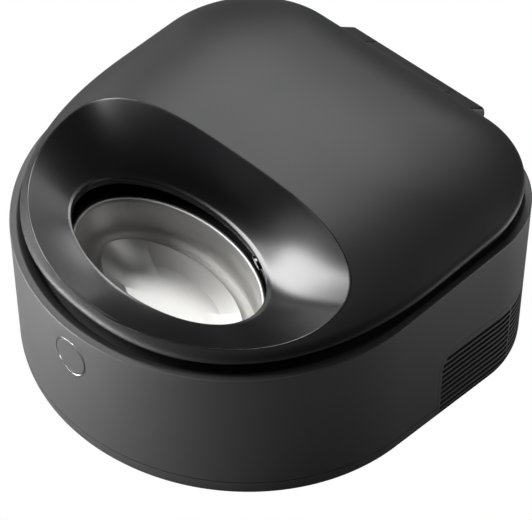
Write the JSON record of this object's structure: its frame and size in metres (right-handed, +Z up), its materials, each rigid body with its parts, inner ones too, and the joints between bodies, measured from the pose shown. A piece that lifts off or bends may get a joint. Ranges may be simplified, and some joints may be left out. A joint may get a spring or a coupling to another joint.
{
  "type": "wet food pet feeder",
  "caption": "Cooled wet food pet feeder: hinged sloping lid with an oval dish over a turning carousel of steel bowls, shutter, front button and vent grille.",
  "frame": {"origin": "centre of the feeder's bounding box in plan, on the surface that its feet stand on", "axes": "+Z up, -Y towards the front with the button, +Y towards the lid's hinge, +X to the right seen from the front"},
  "size_m": [0.3178, 0.3305, 0.1742],
  "materials": {
    "shell": "fine matte charcoal",
    "dish": "polished black",
    "inner": "plain moulded black",
    "steel": "satin stainless",
    "alloy": "plain milled",
    "ring": "bright chamfered edge",
    "rubber": "soft dull",
    "foam": "closed-cell foam",
    "board": "solder mask",
    "ceramic": "matt ceramic",
    "lens": "smoked lens"
  },
  "bodies": {
    "housing": {"outer_housing": "shell", "vent_grille": "shell", "base_pan": "shell", "foot_rear_right": "rubber", "foot_rear_left": "rubber", "foot_front_right": "rubber", "foot_front_left": "rubber", "base_screw_front_right": "steel", "base_screw_front_left": "steel", "base_screw_rear_right": "steel", "base_screw_rear_left": "steel", "chamber_liner": "inner", "chamber_insulation": "foam", "cold_plate": "alloy", "thermoelectric_tile": "ceramic", "heat_sink": "alloy", "fan_frame": "inner", "motor_plate": "alloy", "drive_motor": "alloy", "hinge_pin_left": "steel", "hinge_pin_right": "steel", "control_board": "board", "button_bezel": "ring", "button_switch": "board", "power_inlet": "inner"},
    "lid": {"lid_shell": "shell", "lid_dish": "dish", "lid_inner_panel": "inner", "lid_gasket": "rubber", "sensor_window": "lens", "shutter_motor": "alloy"},
    "shutter": {"rotary_shutter": "inner"},
    "carousel": {"turntable": "inner", "drive_shaft": "steel", "bowl_1": "steel", "bowl_2": "steel", "bowl_3": "steel"},
    "button": {"front_button": "shell"},
    "fan": {"fan_rotor": "inner"}
  },
  "joints": [
    {"name": "lid_hinge", "type": "hinge", "parent": "housing", "child": "lid", "pos_m": [0, 0.15775, 0.14035], "axis": [-1, 0, 0], "range_deg": [0, 85]},
    {"name": "shutter_turn", "type": "hinge", "parent": "lid", "child": "shutter", "pos_m": [0, -0.00397, 0.13629], "axis": [0, -0.1142, 0.9935], "range_deg": [0, 115]},
    {"name": "carousel_turn", "type": "hinge", "parent": "housing", "child": "carousel", "pos_m": [0, -0.00397, 0.13629], "axis": [0, -0.1142, 0.9935], "continuous": true},
    {"name": "button_press", "type": "slide", "parent": "housing", "child": "button", "axis": [0, 1, 0], "range_m": [0, 0.001], "stiffness_N_per_m": 600},
    {"name": "fan_spin", "type": "hinge", "parent": "housing", "child": "fan", "pos_m": [0.1435, 0.066, 0.038], "axis": [1, 0, 0], "continuous": true}
  ]
}
